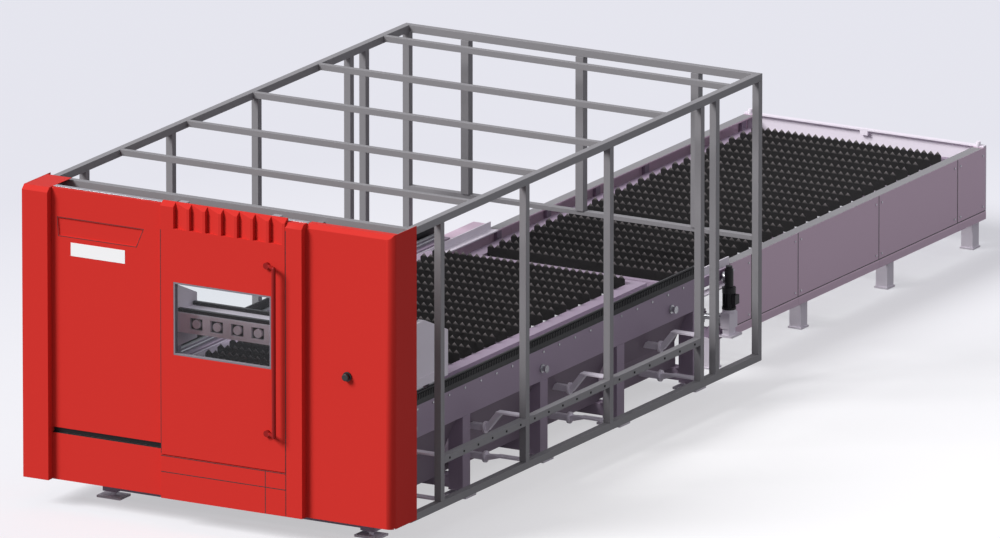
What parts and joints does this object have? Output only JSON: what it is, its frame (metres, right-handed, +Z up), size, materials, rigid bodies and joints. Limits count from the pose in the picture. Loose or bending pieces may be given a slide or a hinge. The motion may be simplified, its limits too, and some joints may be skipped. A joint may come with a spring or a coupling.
{
  "type": "laser cutting machine",
  "caption": "Enclosed flat-bed sheet laser cutting machine with a sliding front door, an open tube enclosure and a two-level exchange table behind it.",
  "frame": {"origin": "middle of the footprint, on the floor", "axes": "+Z up, +Y from the front cover back to the exchange table, +X to the right seen from the front"},
  "size_m": [2.79, 9.054, 2.215],
  "materials": {
    "red_paint": "satin",
    "frame_grey": "satin",
    "bed_paint": "satin",
    "hopper_paint": "satin",
    "lilac_paint": "satin",
    "pale_paint": "satin",
    "bare_steel": "brushed",
    "slat_steel": "scorched",
    "black_metal": "satin",
    "black_plastic": "matte",
    "window_grey": "satin",
    "glass": "clear",
    "copper": "polished"
  },
  "bodies": {
    "machine": {"side_frame_left": "frame_grey", "side_frame_right": "frame_grey", "roof_bars": "frame_grey", "rear_frame": "frame_grey", "front_frame": "frame_grey", "corner_column": "red_paint", "left_panel": "red_paint", "left_kick_panel": "red_paint", "door_pillar": "red_paint", "sill_panels": "red_paint", "right_panel": "red_paint", "door_hang_rail": "bare_steel", "door_guide": "black_metal", "stop_button_collar": "black_plastic", "bed_side_beams": "bed_paint", "bed_columns": "bed_paint", "cross_beams": "bed_paint", "hopper_plates": "hopper_paint", "slag_tray": "hopper_paint", "bed_feet": "pale_paint", "frame_brackets": "pale_paint", "damper_cylinders": "pale_paint", "lifting_eyes": "bare_steel", "guide_rails": "bare_steel", "rail_guards": "black_metal", "upper_tracks": "pale_paint", "lower_tracks": "pale_paint", "link_box": "lilac_paint", "table_side_panels": "lilac_paint", "table_end_panel": "pale_paint", "table_beams": "bed_paint", "table_legs": "pale_paint", "table_uprights": "bed_paint", "drive_gearbox": "pale_paint", "drive_motor": "black_metal", "shaft_bearings": "bare_steel"},
    "door": {"door_panel": "red_paint", "window_frame": "window_grey", "window_pane": "glass", "door_handle": "red_paint", "door_hangers": "bare_steel"},
    "gantry": {"gantry_beam": "pale_paint", "gantry_ends": "pale_paint", "gantry_bearings": "bare_steel", "gantry_motors": "black_metal", "cross_rails": "black_metal"},
    "carriage": {"carriage": "black_metal"},
    "head": {"head_slide": "bare_steel", "cutting_head": "bare_steel", "nozzle": "copper"},
    "stop_button": {"stop_button": "black_plastic"},
    "drive_shaft": {"drive_shaft": "bare_steel"},
    "upper_pallet": {"upper_pallet_frame": "bed_paint", "upper_slats": "slat_steel"},
    "lower_pallet": {"lower_pallet_frame": "bed_paint", "lower_slats": "slat_steel"},
    "upper_front_axle": {"upper_front_wheels": "bare_steel"},
    "upper_rear_axle": {"upper_rear_wheels": "bare_steel"},
    "lower_front_axle": {"lower_front_wheels": "bare_steel"},
    "lower_rear_axle": {"lower_rear_wheels": "bare_steel"}
  },
  "joints": [
    {"name": "door_slide", "type": "slide", "parent": "machine", "child": "door", "axis": [-1, 0, 0], "range_m": [0, 0.84]},
    {"name": "gantry_travel", "type": "slide", "parent": "machine", "child": "gantry", "axis": [0, 1, 0], "range_m": [-0.15, 3.05]},
    {"name": "carriage_travel", "type": "slide", "parent": "gantry", "child": "carriage", "axis": [1, 0, 0], "range_m": [-1.2, 0.2]},
    {"name": "head_lift", "type": "slide", "parent": "carriage", "child": "head", "axis": [0, 0, 1], "range_m": [-0.105, 0]},
    {"name": "stop_button_press", "type": "slide", "parent": "machine", "child": "stop_button", "axis": [0, 1, 0], "range_m": [0, 0.006], "stiffness_N_per_m": 800},
    {"name": "upper_pallet_exchange", "type": "slide", "parent": "machine", "child": "upper_pallet", "axis": [0, 1, 0], "range_m": [0, 4.4]},
    {"name": "lower_pallet_exchange", "type": "slide", "parent": "machine", "child": "lower_pallet", "axis": [0, 1, 0], "range_m": [-4.4, 0]},
    {"name": "drive_shaft_turn", "type": "hinge", "parent": "machine", "child": "drive_shaft", "pos_m": [0, 0.847, 0.35], "axis": [1, 0, 0], "continuous": true},
    {"name": "upper_front_axle_turn", "type": "hinge", "parent": "upper_pallet", "child": "upper_front_axle", "pos_m": [0, -3.41675, 0.7483], "axis": [1, 0, 0], "continuous": true},
    {"name": "upper_rear_axle_turn", "type": "hinge", "parent": "upper_pallet", "child": "upper_rear_axle", "pos_m": [0, -0.55925, 0.7483], "axis": [1, 0, 0], "continuous": true},
    {"name": "lower_front_axle_turn", "type": "hinge", "parent": "lower_pallet", "child": "lower_front_axle", "pos_m": [0, 0.98325, 0.6033], "axis": [1, 0, 0], "continuous": true},
    {"name": "lower_rear_axle_turn", "type": "hinge", "parent": "lower_pallet", "child": "lower_rear_axle", "pos_m": [0, 3.84075, 0.6033], "axis": [1, 0, 0], "continuous": true}
  ],
  "couplings": [
    {"joint": "lower_pallet_exchange", "follows": "upper_pallet_exchange", "ratio": -1},
    {"joint": "drive_shaft_turn", "follows": "upper_pallet_exchange", "rad_per_m": -18.868},
    {"joint": "upper_front_axle_turn", "follows": "upper_pallet_exchange", "rad_per_m": -28.571},
    {"joint": "upper_rear_axle_turn", "follows": "upper_pallet_exchange", "rad_per_m": -28.571},
    {"joint": "lower_front_axle_turn", "follows": "upper_pallet_exchange", "rad_per_m": 28.571},
    {"joint": "lower_rear_axle_turn", "follows": "upper_pallet_exchange", "rad_per_m": 28.571}
  ]
}
